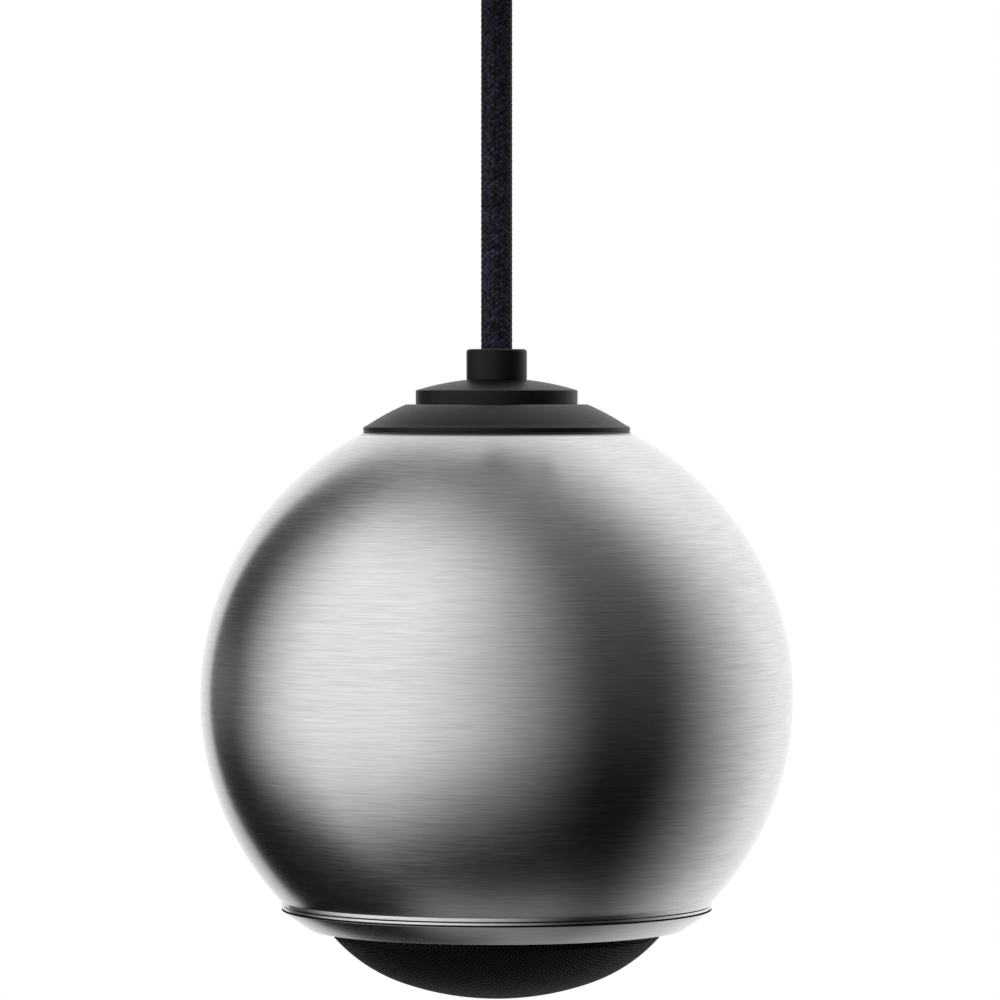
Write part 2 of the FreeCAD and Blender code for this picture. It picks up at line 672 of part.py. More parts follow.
def make_bezel():
    bead_low = f"({BEZEL_TOP} - bead_height)"
    groove_low = f"({bead_low} - groove_height)"
    groove_radius = f"{BEAD_RADIUS} - groove_depth"
    turned("bezel_ring", [
        (LIP_BORE, BEZEL_BASE),
        (f"{BEZEL_LOWER_RADIUS} - bezel_foot_inset", BEZEL_BASE, "bezel_corner*2", 1),
        (BEZEL_LOWER_RADIUS, f"{BEZEL_BASE} + bezel_corner"),
        (BEZEL_RADIUS, f"{groove_low} - bezel_shoulder"),
        (f"{BEZEL_RADIUS} - bezel_shoulder", groove_low),
        (groove_radius, groove_low),
        (groove_radius, bead_low),
        (f"{BEAD_RADIUS} - bead_round", bead_low),
        (BEAD_RADIUS, f"{bead_low} + bead_round"),
        (BEAD_RADIUS, f"{BEZEL_TOP} - bead_round"),
        (f"{BEAD_RADIUS} - bead_round", BEZEL_TOP),
        (SPIGOT_RADIUS, BEZEL_TOP),
        (SPIGOT_RADIUS, SPIGOT_TOP),
        (WELL_RADIUS, SPIGOT_TOP),
        (WELL_RADIUS, LIP_TOP),
        (LIP_BORE, LIP_TOP),
    ])


def make_grille():
    """A domed grille: a wide crown arc that runs into a tighter shoulder arc, with staggered holes."""
    inner_crown = "(crown_curve - grille_wall)"
    inner_shoulder = "(shoulder_curve - grille_wall)"
    skirt = f"({GRILLE_RADIUS} - grille_wall)"
    body = turned("grille", [
        ("0", GRILLE_POLE, "crown_curve", 1),
        ("crown_curve*sin(crown_angle)", f"{GRILLE_POLE} + crown_curve - crown_curve*cos(crown_angle)",
         "shoulder_curve", 1),
        (GRILLE_RADIUS, f"{LIP_TOP} - skirt_height"),
        (GRILLE_RADIUS, LIP_TOP),
        (DRIVER_RADIUS, LIP_TOP),
        (DRIVER_RADIUS, GRILLE_TOP),
        (skirt, GRILLE_TOP),
        (skirt, f"{SHOULDER_Z} - sqrt({inner_shoulder}^2 - ({skirt} - {SHOULDER_R})^2)", inner_shoulder, -1),
        (f"{inner_crown}*sin(crown_angle)", f"{GRILLE_POLE} + crown_curve - {inner_crown}*cos(crown_angle)",
         inner_crown, -1),
        ("0", f"{GRILLE_POLE} + grille_wall"),
    ])
    low = f"({GRILLE_POLE} - overcut)"
    doc.recompute()
    solid_volume = body.Shape.Volume

    def hole(sketch, x, y):
        reach = "grille_hole/2/cos(30)"
        corners = [(f"{x} + {reach}*cos({60 * k + 30})", f"{y} + {reach}*sin({60 * k + 30})") for k in range(6)]
        outline(sketch, corners)

    def sector(sketch):
        for ring in range(1, 6):
            for step in range(ring):
                hole(sketch, f"grille_pitch*{ring - step / 2}", f"grille_pitch*{step}*sin(60)")

    cut(body, "middle_hole", lambda s: hole(s, "0", "0"), low, LIP_TOP)
    repeat_round(body, "all_holes", cut(body, "sector_holes", sector, low, LIP_TOP), 6)
    doc.recompute()
    print(f"grille: {solid_volume:.1f} mm3 plain, {body.Shape.Volume:.1f} mm3 with its holes")


# Driver, facing down.
def make_driver_frame():
    outer_foot = f"({RIM_BORE} + basket_lip + basket_wall - rim_height)"
    body = turned("driver_frame", [
        (RIM_BORE, RIM_BASE),
        (DRIVER_RADIUS, RIM_BASE),
        (DRIVER_RADIUS, RIM_TOP),
        (outer_foot, RIM_TOP),
        (SEAT_RADIUS, f"{RIM_TOP} + {outer_foot} - {SEAT_RADIUS}"),
        (SEAT_RADIUS, SEAT_TOP),
        ("seat_bore", SEAT_TOP),
        ("seat_bore", SEAT_BASE),
        ("shelf_radius", SEAT_BASE),
        ("shelf_radius", SHELF),
        (SHELF_EDGE, SHELF),
        (RIM_BORE, f"{RIM_BASE} + basket_lip"),
    ])
    boss = box_corners(f"{BOSS_RADIUS} - boss_depth", BOSS_RADIUS, "-board_width/2", "board_width/2")
    pad(body, "terminal_boss", lambda s: outline(s, boss), BOSS_BASE, SEAT_TOP)
    angle = "window_half_angle"
    inner = f"({SEAT_RADIUS} + window_foot)"
    outer = f"({RIM_BORE} - window_edge)"
    corners = [
        (f"{inner}*cos({angle})", f"-{inner}*sin({angle})"),
        (f"{outer}*cos({angle})", f"-{outer}*sin({angle})", outer, 1),
        (f"{outer}*cos({angle})", f"{outer}*sin({angle})"),
        (f"{inner}*cos({angle})", f"{inner}*sin({angle})", inner, -1),
    ]
    window = cut(body, "window", lambda s: outline(s, corners), RIM_BASE, BOSS_BASE)
    repeat_round(body, "windows", window, int(value("window_count")))


def make_moving_pieces():
    """Cone, dust cap, former and coil: they slide together along the axis."""
    neck_front = f"({NECK} - cone_wall)"
    turned("cone", [
        ("former_radius", neck_front),
        (CONE_LAND, RIM_BASE),
        (CONE_RIM, RIM_BASE),
        (CONE_RIM, CONE_REAR),
        (CONE_LAND, CONE_REAR),
        ("former_radius", NECK),
    ])
    seat_inner = "(cap_seat - cap_seat_width)"
    front_inner = f"({neck_front} - {CONE_SLOPE}*({seat_inner} - former_radius))"
    front_outer = f"({neck_front} - {CONE_SLOPE}*(cap_seat - former_radius))"
    outer_curve = "((cap_seat^2 + cap_bulge^2)/(2*cap_bulge))"
    inner_curve = f"(({seat_inner}^2 + cap_bulge^2)/(2*cap_bulge))"
    turned("dust_cap", [
        ("0", f"{front_outer} - cap_wall - cap_bulge", outer_curve, 1),
        ("cap_seat", f"{front_outer} - cap_wall"),
        ("cap_seat", front_outer),
        (seat_inner, front_inner),
        (seat_inner, f"{front_inner} - cap_wall", inner_curve, -1),
        ("0", f"{front_outer} - cap_bulge"),
    ])
    former_base = f"({neck_front} - former_front)"
    tube("coil_former", "(former_radius - former_wall)", "former_radius",
         former_base, f"({former_base} + former_length)")
    tube("voice_coil", "former_radius", "(former_radius + coil_wall)",
         COIL_BASE, f"({COIL_BASE} + coil_length)")


def make_suspension():
    """The roll surround at the cone's rim and the corrugated spider at its neck."""
    inner_roll = "(roll_radius - roll_wall)"
    low = f"({RIM_BASE} - roll_wall)"
    reach = "sqrt(roll_radius^2 - roll_wall^2)"
    middle = f"({CONE_RIM} + roll_start + roll_radius)"
    inner = f"{CONE_LAND} + roll_start"
    outer = f"{DRIVER_RADIUS} - gasket_width - fit_gap"
    turned("surround", [
        (inner, low),
        (f"{middle} - {reach}", low, "roll_radius", 1),
        (f"{middle} + {reach}", low),
        (outer, low),
        (outer, RIM_BASE),
        (f"{middle} + {inner_roll}", RIM_BASE, inner_roll, -1),
        (middle, f"{RIM_BASE} - {inner_roll}", inner_roll, -1),
        (f"{middle} - {inner_roll}", RIM_BASE),
        (inner, RIM_BASE),
    ])
    first = "(former_radius + spider_collar)"
    last = f"({SHELF_EDGE} - fit_gap - spider_flange)"
    line = [("former_radius", "0"), (first, "0")]
    for k in range(int(value("spider_waves"))):
        line.append((f"({first} + ({last} - {first})*{k + 0.5}/spider_waves)", f"spider_swing*{(-1)**k}"))
    line += [(last, "0"), (f"({last} + spider_flange)", "0")]
    front = [(radius, f"{SHELF} - spider_wall + {lift}") for radius, lift in line]
    back = [(radius, f"{SHELF} + {lift}") for radius, lift in reversed(line)]
    turned("spider", front + back)


def make_motor():
    tube("top_plate", "(former_radius + coil_wall + coil_gap)", "plate_radius", SEAT_TOP, PLATE_TOP)
    tube("magnet", "magnet_bore", "magnet_radius", PLATE_TOP, MAGNET_TOP)
    pole = "(former_radius - former_wall - pole_gap)"
    turned("pole_yoke", [
        ("vent_radius", SEAT_TOP),
        (pole, SEAT_TOP),
        (pole, MAGNET_TOP),
        ("plate_radius", MAGNET_TOP),
        ("plate_radius", f"{MAGNET_TOP} + back_height"),
        ("vent_radius", f"{MAGNET_TOP} + back_height"),
    ])
    tube("frame_gasket", f"({DRIVER_RADIUS} - gasket_width)", DRIVER_RADIUS, GRILLE_TOP, RIM_BASE)
    bore = f"({WELL_RADIUS} - ring_width)"
    top = f"({RIM_TOP} + ring_height)"
    ring = tube("retaining_ring", bore, WELL_RADIUS, RIM_TOP, top)
    corners = box_corners(f"{bore} - overcut", f"{bore} + ring_notch/2", "-ring_notch/2", "ring_notch/2")
    notch = cut(ring, "notch", lambda s: outline(s, corners), RIM_TOP, top)
    repeat_round(ring, "notches", notch, 4)


def make_terminals():
    board = new_body("terminal_board")
    face = f"({BOSS_RADIUS} + board_wall)"
    corners = box_corners(BOSS_RADIUS, face, "-board_width/2", "board_width/2")
    pad(board, "board", lambda s: outline(s, corners), BOSS_BASE, f"({SEAT_TOP} + board_rise)")
    tag_x = value(f"{face} + tag_wall/2")
    top = value(TAG_TOP)
    base = value(f"{TAG_TOP} - tag_height")
    landing = value("former_radius + tinsel_landing")
    landing_z = value(f"{NECK} - {CONE_SLOPE}*tinsel_landing + tinsel_radius + tinsel_gap")
    tags = []
    tinsels = []
    for name, side in (("lead_positive", 1), ("lead_negative", -1)):
        tag_y = side * value("tag_offset")
        corner = FreeCAD.Vector(value(face), tag_y - value("tag_width/2"), base)
        tags.append(Part.makeBox(value("tag_wall"), value("tag_width"), value("tag_height"), corner))
        start = (0, side * value("core_offset"), value(CORD_BASE))
        shaped(name, wire_along(start, (tag_x, tag_y, top), LEAD_ROUTE, value("core_radius")))
        end = (landing, tag_y, landing_z)
        tinsels.append(wire_along((tag_x, tag_y, base), end, TINSEL_ROUTE, value("tinsel_radius")))
    shaped("terminal_tags", Part.makeCompound(tags))
    shaped("tinsel_leads", Part.makeCompound(tinsels))


make_bracket()
make_rose()
make_side_screws()
make_block()
make_grip()
make_rose_leads()
make_cord()
make_neck()
make_clamp()
make_ball()
make_bezel()
make_grille()
make_driver_frame()
make_moving_pieces()
make_suspension()
make_motor()
make_terminals()
doc.recompute()

for item in doc.Objects:
    if "Invalid" in item.State or "Error" in item.State:
        raise RuntimeError(f"{item.Label} failed: {item.State}")

pieces = [item for item in doc.Objects if item.TypeId in ("PartDesign::Body", "Part::Feature")
          and item.getParentGeoFeatureGroup() is None]
os.makedirs("parts", exist_ok=True)
for piece in pieces:
    if piece.Shape.isNull() or not piece.Shape.isValid():
        raise RuntimeError(f"{piece.Label} has no valid shape")
for piece in pieces:
    piece.Shape.exportStep(f"parts/{piece.Label}.step")
print(f"{len(pieces)} pieces written")
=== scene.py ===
import math

import bmesh
import bpy
import numpy as np
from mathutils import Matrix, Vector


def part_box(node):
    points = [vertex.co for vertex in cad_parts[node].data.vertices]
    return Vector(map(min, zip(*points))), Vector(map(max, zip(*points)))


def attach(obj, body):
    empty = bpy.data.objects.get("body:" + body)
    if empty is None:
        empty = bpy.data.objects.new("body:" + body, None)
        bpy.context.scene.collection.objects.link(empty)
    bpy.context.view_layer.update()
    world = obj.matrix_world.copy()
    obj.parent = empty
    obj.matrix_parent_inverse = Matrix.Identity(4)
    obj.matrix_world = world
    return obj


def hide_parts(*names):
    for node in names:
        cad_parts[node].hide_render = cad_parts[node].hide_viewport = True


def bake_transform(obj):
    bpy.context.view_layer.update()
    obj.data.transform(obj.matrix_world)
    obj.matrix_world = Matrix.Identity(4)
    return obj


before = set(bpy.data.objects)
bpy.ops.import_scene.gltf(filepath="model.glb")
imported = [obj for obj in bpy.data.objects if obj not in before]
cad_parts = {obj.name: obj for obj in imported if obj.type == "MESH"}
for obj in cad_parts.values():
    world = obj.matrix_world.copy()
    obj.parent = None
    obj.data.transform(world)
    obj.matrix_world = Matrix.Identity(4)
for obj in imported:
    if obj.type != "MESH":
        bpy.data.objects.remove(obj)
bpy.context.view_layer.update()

# Driving sizes of the seen pieces, in metres. Heights on the ball are above its centre.
MM = 0.001
BALL_RADIUS = 50.8 * MM
SHELL_WALL = 1.2 * MM
MOUTH_RADIUS = 36.34 * MM
EDGE_DEPTH = math.sqrt(BALL_RADIUS**2 - MOUTH_RADIUS**2)
EDGE_BAND = 36.95 * MM
STEM_HOLE = 4.2 * MM
LEDGE_HEIGHT = 50.3 * MM
LEDGE_RADIUS = 15.6 * MM
FLANGE_RADIUS = 22.9 * MM
FLANGE_BORE = 12.4 * MM
FLANGE_RIM = 1.05 * MM
CAP_RADIUS = 13.9 * MM
CAP_BAND = 2.35 * MM
CAP_RISE = 1.85 * MM
CAP_LAND = 5.5 * MM
CAP_CURVE = 47.0 * MM
COLLAR_RADIUS = 5.2 * MM
COLLAR_HEIGHT = 5.3 * MM
CORD_RADIUS = 2.75 * MM
CORD_BORE = 2.9 * MM
SPIGOT_RADIUS = 33.0 * MM
BEZEL_RADIUS = 37.0 * MM
BEZEL_FOOT = 32.15 * MM
BEAD_RADIUS = 36.85 * MM
BEAD_HEIGHT = 0.45 * MM
GROOVE_HEIGHT = 0.25 * MM
GROOVE_RADIUS = 36.15 * MM
LIP_BORE = 28.35 * MM
LIP_HEIGHT = 1.1 * MM
GRILLE_RADIUS = 28.0 * MM
GRILLE_WALL = 0.5 * MM
CROWN_CURVE = 49.5 * MM
CROWN_ANGLE = math.radians(19.6)
SHOULDER_CURVE = 27.5 * MM
PERFORATION_PITCH = 0.87 * MM
PERFORATION_RADIUS = 0.265 * MM
ROSE_RADIUS = 38.0 * MM
ROSE_DEPTH = 30.0 * MM
ROSE_WALL = 1.2 * MM
GRIP_FOOT = -35.0 * MM
STEEL_SEGMENTS = 288

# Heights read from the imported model.
BALL_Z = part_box("ball_shell")[0].z + EDGE_DEPTH
SPIGOT_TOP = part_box("bezel_ring")[1].z - BALL_Z
BEZEL_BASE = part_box("bezel_ring")[0].z - BALL_Z
BEZEL_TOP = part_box("seam_gasket")[0].z - BALL_Z
GRILLE_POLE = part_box("grille")[0].z - BALL_Z - 0.2 * MM
CAP_TOP = LEDGE_HEIGHT + CAP_BAND + CAP_RISE
COLLAR_TOP = CAP_TOP + COLLAR_HEIGHT


# Shapes

def arc(centre, radius, start, end, steps):
    """Points of a circle's arc: centre + radius * (cos a, sin a), a from start to end in degrees."""
    a = np.radians(np.linspace(start, end, steps + 1))
    return np.column_stack([centre[0] + radius * np.cos(a), centre[1] + radius * np.sin(a)])


def chord_arc(start, end, radius, steps):
    """The arc of that radius from start to end, turning left."""
    (x0, y0), (x1, y1) = start, end
    chord = math.hypot(x1 - x0, y1 - y0)
    rise = math.sqrt(radius**2 - chord**2 / 4)
    cx = (x0 + x1) / 2 - (y1 - y0) / chord * rise
    cy = (y0 + y1) / 2 + (x1 - x0) / chord * rise
    first = math.degrees(math.atan2(y0 - cy, x0 - cx))
    last = math.degrees(math.atan2(y1 - cy, x1 - cx))
    return arc((cx, cy), radius, first, last, steps)


def rounded(corners, radii, steps=4):
    """A closed outline with each corner replaced by the arc of its radius that is tangent to both sides."""
    points = np.asarray(corners, float)
    out = []
    for before, corner, after, radius in zip(np.roll(points, 1, 0), points, np.roll(points, -1, 0), radii):
        a = (before - corner) / np.linalg.norm(before - corner)
        b = (after - corner) / np.linalg.norm(after - corner)
        half = math.acos(np.clip(a @ b, -1, 1)) / 2
        if radius == 0 or abs(half - math.pi / 2) < 1e-3:
            out.append(corner)
            continue
        reach = radius / math.tan(half)
        middle = corner + (a + b) / np.linalg.norm(a + b) * radius / math.sin(half)
        first = corner + a * reach - middle
        last = corner + b * reach - middle
        t0 = math.atan2(first[1], first[0])
        turn = (math.atan2(last[1], last[0]) - t0 + math.pi) % (2 * math.pi) - math.pi
        for t in np.linspace(0, 1, steps + 1):
            out.append(middle + radius * np.array([math.cos(t0 + turn * t), math.sin(t0 + turn * t)]))
    return np.array(out)


def new_piece(name, points, faces, material, smooth_angle=35):
    """An object at the origin whose mesh holds its place."""
    mesh = bpy.data.meshes.new(name)
    mesh.from_pydata(points.tolist(), [], faces.tolist())
    mesh.materials.append(material)
    mesh.polygons.foreach_set("use_smooth", np.ones(len(mesh.polygons), bool))
    mesh.set_sharp_from_angle(angle=math.radians(smooth_angle))
    mesh.update()
    piece = bpy.data.objects.new(name, mesh)
    bpy.context.scene.collection.objects.link(piece)
    return piece


def ring_faces(around, along, closed_along):
    """Quads of a grid of points numbered around * along, closed around, and closed along if asked."""
    i, j = np.meshgrid(np.arange(around), np.arange(along if closed_along else along - 1), indexing="ij")
    i, j = i.ravel(), j.ravel()
    i2, j2 = (i + 1) % around, (j + 1) % along
    return np.column_stack([i * along + j, i2 * along + j, i2 * along + j2, i * along + j2])


def revolved(outline, segments, height=BALL_Z):
    """Points (r cos a, r sin a, z + height) for each point (r, z) of an outline, at equal steps of a."""
    a = np.linspace(0, 2 * np.pi, segments, endpoint=False)
    r, z = outline[:, 0], outline[:, 1] + height
    return np.stack([
        np.outer(np.cos(a), r), np.outer(np.sin(a), r), np.broadcast_to(z, (segments, len(z)))
    ], axis=-1).reshape(-1, 3)


def turned(name, outline, material, node, segments=160, height=BALL_Z, smooth_angle=35):
    """A solid of revolution from a closed outline that runs anticlockwise. It stands for the node."""
    points = revolved(outline, segments, height)
    piece = new_piece(name, points, ring_faces(segments, len(outline), True), material, smooth_angle)
    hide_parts(node)
    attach(piece, "housing")
    return piece


def turned_soft(name, outline, material, node, moving_radius, fixed_radius):
    """A turned soft piece, handed to flex with a share of 0 at moving_radius and 1 at fixed_radius."""
    segments = 128
    points = revolved(outline, segments)
    piece = new_piece(name, points, ring_faces(segments, len(outline), True), material)
    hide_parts(node)
    flex(piece, (np.hypot(points[:, 0], points[:, 1]) - moving_radius) / (fixed_radius - moving_radius))
    return piece


def flex(piece, share):
    """Bakes the placement of a piece between the cone and the housing into its mesh, and clips each point's
    share s to between 0 and 1."""
    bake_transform(piece)
    share = np.clip(share, 0, 1)


# Finishes

def finish(name, **sockets):
    """A material with a principled shader whose plain values sit on its own sockets."""
    material = bpy.data.materials.new(name)
    material.use_nodes = True
    shader = material.node_tree.nodes["Principled BSDF"]
    for socket, number in sockets.items():
        shader.inputs[socket.replace("_", " ")].default_value = number
    return material, material.node_tree, shader


def add(tree, kind, **settings):
    """A node of that kind with its properties set."""
    node = tree.nodes.new(kind)
    for key, setting in settings.items():
        setattr(node, key, setting)
    return node


def math_node(tree, operation, *terms):
    """A maths node fed by sockets or numbers."""
    node = add(tree, "ShaderNodeMath", operation=operation)
    for socket, given in zip(node.inputs, terms):
        if isinstance(given, (int, float)):
            socket.default_value = given
        else:
            tree.links.new(given, socket)
    return node.outputs[0]


def noise(tree, vector, scale, detail=3.0, roughness=0.5):
    """Noise over a position."""
    node = add(tree, "ShaderNodeTexNoise")
    node.inputs["Scale"].default_value = scale
    node.inputs["Detail"].default_value = detail
    node.inputs["Roughness"].default_value = roughness
    tree.links.new(vector, node.inputs["Vector"])
    return node.outputs["Fac"]


def spread(tree, source, low, high, from_low=0.3, from_high=0.7):
    """The source's range laid onto another range."""
    node = add(tree, "ShaderNodeMapRange")
    node.inputs["From Min"].default_value = from_low
    node.inputs["From Max"].default_value = from_high
    node.inputs["To Min"].default_value = low
    node.inputs["To Max"].default_value = high
    tree.links.new(source, node.inputs["Value"])
    return node.outputs["Result"]


def tint(tree, factor, first, second):
    """A colour between two colours."""
    node = add(tree, "ShaderNodeMix", data_type="RGBA")
    tree.links.new(factor, node.inputs["Factor"])
    node.inputs["A"].default_value = (*first, 1)
    node.inputs["B"].default_value = (*second, 1)
    return node.outputs["Result"]


def bump(tree, shader, height, strength, distance):
    """Raises the surface by a height."""
    node = add(tree, "ShaderNodeBump")
    node.inputs["Strength"].default_value = strength
    node.inputs["Distance"].default_value = distance
    tree.links.new(height, node.inputs["Height"])
    tree.links.new(node.outputs["Normal"], shader.inputs["Normal"])


def brushed_position(tree, around, along):
    """A position for streaks that run round the upright axis, with no seam.

    It is the heading on a circle of size around, and the angle up the ball times along. With the angle, and
    not the height, the streaks keep their width near the top and the bottom."""
    place = add(tree, "ShaderNodeTexCoord").outputs["Object"]
    split = add(tree, "ShaderNodeSeparateXYZ")
    tree.links.new(place, split.inputs[0])
    flat = math_node(tree, "SQRT", math_node(
        tree, "ADD", math_node(tree, "MULTIPLY", split.outputs["X"], split.outputs["X"]),
        math_node(tree, "MULTIPLY", split.outputs["Y"], split.outputs["Y"])))
    flat = math_node(tree, "MAXIMUM", flat, 1e-5)
    joined = add(tree, "ShaderNodeCombineXYZ")
    for axis in "XY":
        heading = math_node(tree, "DIVIDE", split.outputs[axis], flat)
        tree.links.new(math_node(tree, "MULTIPLY", heading, around), joined.inputs[axis])
    lift = math_node(tree, "SUBTRACT", split.outputs["Z"], BALL_Z)
    slope = math_node(tree, "ARCTAN2", lift, flat)
    tree.links.new(math_node(tree, "MULTIPLY", slope, along), joined.inputs["Z"])
    return joined.outputs[0]


def brushed_steel():
    """Stainless steel, brushed round the ball, with a painted dark line at the flange's foot that stands for
    the rim's reflection and the shade under it.
    """
    material, tree, shader = finish(
        "brushed_steel", Metallic=1.0, Anisotropic=0.75, Anisotropic_Rotation=0.25, Roughness=0.23)
    tangent = add(tree, "ShaderNodeTangent", direction_type="RADIAL", axis="Z")
    tree.links.new(tangent.outputs[0], shader.inputs["Tangent"])
    fine = noise(tree, brushed_position(tree, 7.0, 540.0), 1.0, 2.0, 0.6)
    broad = noise(tree, brushed_position(tree, 3.2, 215.0), 1.0, 2.0, 0.6)
    mixed = math_node(
        tree, "ADD", math_node(tree, "MULTIPLY", fine, 0.65), math_node(tree, "MULTIPLY", broad, 0.35))
    split = add(tree, "ShaderNodeSeparateXYZ")
    tree.links.new(add(tree, "ShaderNodeTexCoord").outputs["Object"], split.inputs[0])
    flange_foot = BALL_Z + math.sqrt(BALL_RADIUS**2 - FLANGE_RADIUS**2)
    # painted reflection and painted shade: the steel's colour falls to near black in a thin ring just under
    # the flange's rim
    line = spread(tree, split.outputs["Z"], 1, 0.06, flange_foot - 0.42 * MM, flange_foot - 0.12 * MM)
    tone = math_node(tree, "MULTIPLY", spread(tree, mixed, 0.58, 0.82, 0.34, 0.66), line)
    tree.links.new(tint(tree, tone, (0, 0, 0), (1, 1, 1)), shader.inputs["Base Color"])
    tree.links.new(spread(tree, fine, 0.20, 0.26), shader.inputs["Roughness"])
    bump(tree, shader, mixed, 0.05, 0.00002)
    return material


def powder_coat(name, colour, roughness, grain, gloss):
    """Fine matte coat with a slight orange peel."""
    material, tree, shader = finish(name, Roughness=roughness, Specular_IOR_Level=gloss)
    place = add(tree, "ShaderNodeTexCoord").outputs["Object"]
    peel = noise(tree, place, grain, 3.0, 0.6)
    dark, light = [c * 0.8 for c in colour], [c * 1.25 for c in colour]
    tree.links.new(tint(tree, spread(tree, peel, 0, 1), dark, light), shader.inputs["Base Color"])
    tree.links.new(spread(tree, peel, roughness - 0.05, roughness + 0.06), shader.inputs["Roughness"])
    bump(tree, shader, peel, 0.25, 0.00003)
    return material


def plain_metal(name, colour, roughness, scale=900.0):
    """Machined or plated metal with a faint uneven sheen."""
    material, tree, shader = finish(name, Metallic=1.0, Roughness=roughness)
    place = add(tree, "ShaderNodeTexCoord").outputs["Object"]
    cloud = noise(tree, place, scale, 4.0, 0.6)
    dull = [c * 0.86 for c in colour]
    tree.links.new(tint(tree, spread(tree, cloud, 0, 1), dull, colour), shader.inputs["Base Color"])
    tree.links.new(spread(tree, cloud, roughness - 0.06, roughness + 0.08), shader.inputs["Roughness"])
    return material


def soft_plastic(name, colour, roughness, scale=1500.0, sheen=0.0):
    """Moulded plastic, rubber, paper or cloth with a fine grain."""
    material, tree, shader = finish(name, Roughness=roughness, Sheen_Weight=sheen)
    place = add(tree, "ShaderNodeTexCoord").outputs["Object"]
    grain = noise(tree, place, scale, 4.0, 0.6)
    dark, light = [c * 0.8 for c in colour], [min(1, c * 1.15) for c in colour]
    tree.links.new(tint(tree, spread(tree, grain, 0, 1), dark, light), shader.inputs["Base Color"])
    bump(tree, shader, grain, 0.2, 0.00003)
    return material


def braid_yarn():
    """Polyester yarn of the braid: navy-black, with painted shade between its strands, and fibres along each.
    """
    material, tree, shader = finish("braid_yarn", Sheen_Weight=0.02, Sheen_Roughness=0.4,
                                    Specular_IOR_Level=0.15)
    shader.inputs["Sheen Tint"].default_value = (0.5, 0.55, 0.8, 1)
    fibre = add(tree, "ShaderNodeUVMap", uv_map="yarn").outputs["UV"]
    stretch = add(tree, "ShaderNodeMapping")
    stretch.inputs["Scale"].default_value = (7.0, 1.2, 1.0)
    tree.links.new(fibre, stretch.inputs["Vector"])
    lines = noise(tree, stretch.outputs[0], 2.0, 3.0, 0.6)
    place = add(tree, "ShaderNodeTexCoord").outputs["Object"]
    flecks = noise(tree, place, 1300.0, 2.0, 0.5)
    mixed = math_node(
        tree, "MULTIPLY", spread(tree, lines, 0.1, 1.2), spread(tree, flecks, 0.15, 1.6, 0.42, 0.7))
    across = add(tree, "ShaderNodeSeparateXYZ")
    tree.links.new(place, across.inputs[0])
    squares = [math_node(tree, "MULTIPLY", across.outputs[k], across.outputs[k]) for k in ("X", "Y")]
    distance = math_node(tree, "SQRT", math_node(tree, "ADD", *squares))
    # painted shade: nearer the cord's line, in the valleys between strands and on the core, the colour falls
    # toward black
    crest_height_and_valley_shade = spread(tree, distance, 0.05, 1, CORD_RADIUS - 0.3 * MM, CORD_RADIUS - 0.03 * MM)
    mixed = math_node(tree, "MULTIPLY", mixed, crest_height_and_valley_shade)
    black, navy = (0.0006, 0.0006, 0.0015), (0.068, 0.068, 0.13)
    tree.links.new(tint(tree, mixed, black, navy), shader.inputs["Base Color"])
    tree.links.new(spread(tree, crest_height_and_valley_shade, 0.8, 0.4, 0, 1), shader.inputs["Roughness"])
    bump(tree, shader, lines, 0.5, 0.00006)
    return material


STEEL = brushed_steel()
BLACK_COAT = powder_coat("black_coat", (0.007, 0.007, 0.0074), 0.42, 2600.0, 0.2)
GRILLE_COAT = powder_coat("grille_coat", (0.003, 0.003, 0.0032), 0.6, 3500.0, 0.2)
RUBBER = soft_plastic("black_rubber", (0.012, 0.012, 0.012), 0.75)
YARN = braid_yarn()
ZINC = plain_metal("zinc_plate", (0.62, 0.62, 0.58), 0.32)
BLACK_OXIDE = plain_metal("black_oxide", (0.05, 0.05, 0.052), 0.42)
NYLON = soft_plastic("natural_nylon", (0.72, 0.70, 0.64), 0.45, 800.0)
RED_PVC = soft_plastic("red_insulation", (0.42, 0.02, 0.015), 0.42, 700.0)
BLACK_PVC = soft_plastic("black_insulation", (0.015, 0.015, 0.015), 0.42, 700.0)
PRESSED_STEEL = powder_coat("basket_coat", (0.02, 0.02, 0.02), 0.45, 1800.0, 0.5)
PULP = soft_plastic("paper_pulp", (0.03, 0.03, 0.033), 0.85, 1400.0)
FOIL = plain_metal("aluminium_foil", (0.75, 0.75, 0.76), 0.25)
COPPER = plain_metal("enamelled_copper", (0.75, 0.33, 0.16), 0.3, 2500.0)
DIPPED_CLOTH = soft_plastic("dipped_cloth", (0.45, 0.29, 0.10), 0.8, 2200.0)
FERRITE = soft_plastic("sintered_ferrite", (0.045, 0.045, 0.05), 0.6, 900.0)
PHENOLIC = soft_plastic("phenolic_board", (0.22, 0.11, 0.045), 0.5, 1200.0)
TINNED = plain_metal("tinned_brass", (0.72, 0.66, 0.5), 0.3)

NODE_FINISH = {
    ZINC: ["ceiling_bracket", "block_screws", "grip_locknut", "stem", "saddle_washer", "stem_nut",
           "clamp_screws", "mounting_ring", "top_plate", "pole_yoke"],
    BLACK_OXIDE: ["rose_side_screws", "grip_screw", "collar_grub_screw", "retaining_ring"],
    NYLON: ["connector_block", "clamp_jaw_front", "clamp_jaw_back"],
    RED_PVC: ["rose_lead_positive", "lead_positive"],
    BLACK_PVC: ["rose_lead_negative", "lead_negative"],
    RUBBER: ["seam_gasket", "frame_gasket"],
    PRESSED_STEEL: ["driver_frame"],
    PULP: ["cone", "dust_cap"],
    FOIL: ["coil_former"],
    COPPER: ["voice_coil"],
    FERRITE: ["magnet"],
    PHENOLIC: ["terminal_board"],
    TINNED: ["terminal_tags"],
}


def dress_nodes():
    """Gives each CAD node that stays its finish."""
    for material, names in NODE_FINISH.items():
        for name in names:
            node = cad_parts[name]
            node.data.materials.clear()
            node.data.materials.append(material)


# Pieces

